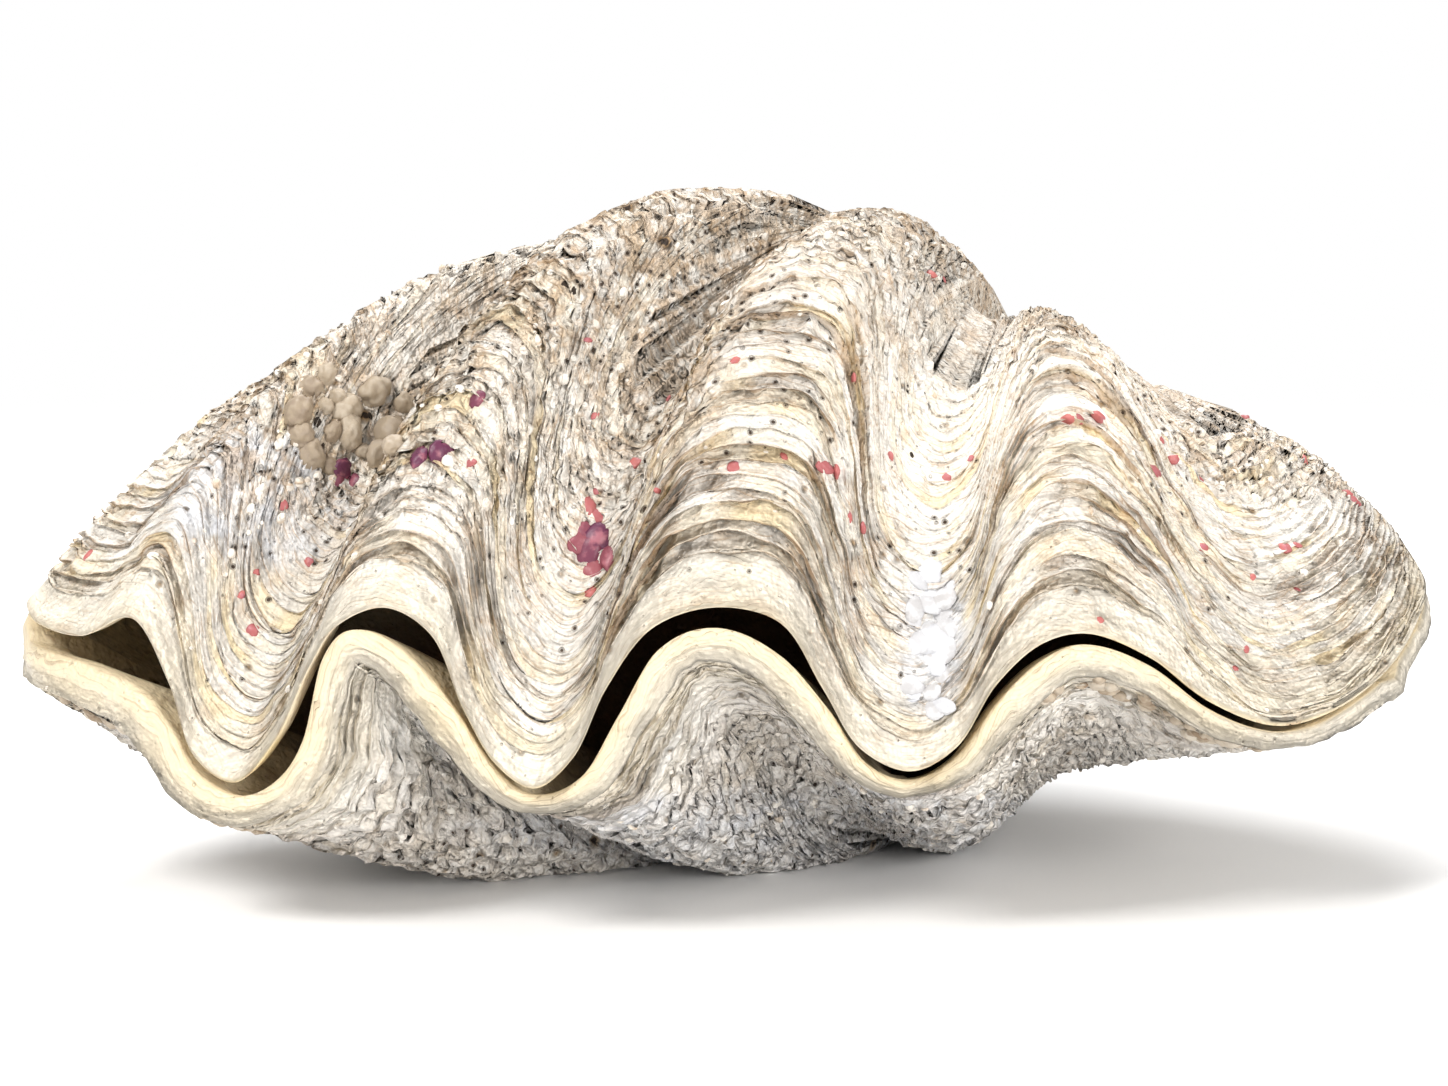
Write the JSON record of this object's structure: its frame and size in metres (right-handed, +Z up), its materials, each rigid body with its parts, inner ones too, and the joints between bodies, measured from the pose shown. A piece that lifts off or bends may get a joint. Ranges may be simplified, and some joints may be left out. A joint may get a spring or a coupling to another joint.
{
  "type": "giant clam shell",
  "caption": "Closed giant clam shell: an upper and a lower valve with deep waving folds, stepped growth ledges and a hollow inside, joined by a dried hinge strip.",
  "frame": {"origin": "middle of the footprint's bounding box, on the floor that the lower valve rests on", "axes": "+X along the shell's length, to the right when the gaping edge faces the viewer; -Y towards the gaping edge; +Z up"},
  "size_m": [0.3022, 0.1922, 0.1463],
  "materials": {
    "upper_shell": "chalky weathered shell, warm bone white with tan crevices, cream glossy lip",
    "lower_shell": "chalky weathered shell, greyer white, cream glossy lip",
    "ligament": "dry dark-brown horny strip"
  },
  "bodies": {
    "root": {"upper_valve": "upper_shell", "lower_valve": "lower_shell", "hinge_ligament": "ligament"}
  },
  "joints": []
}
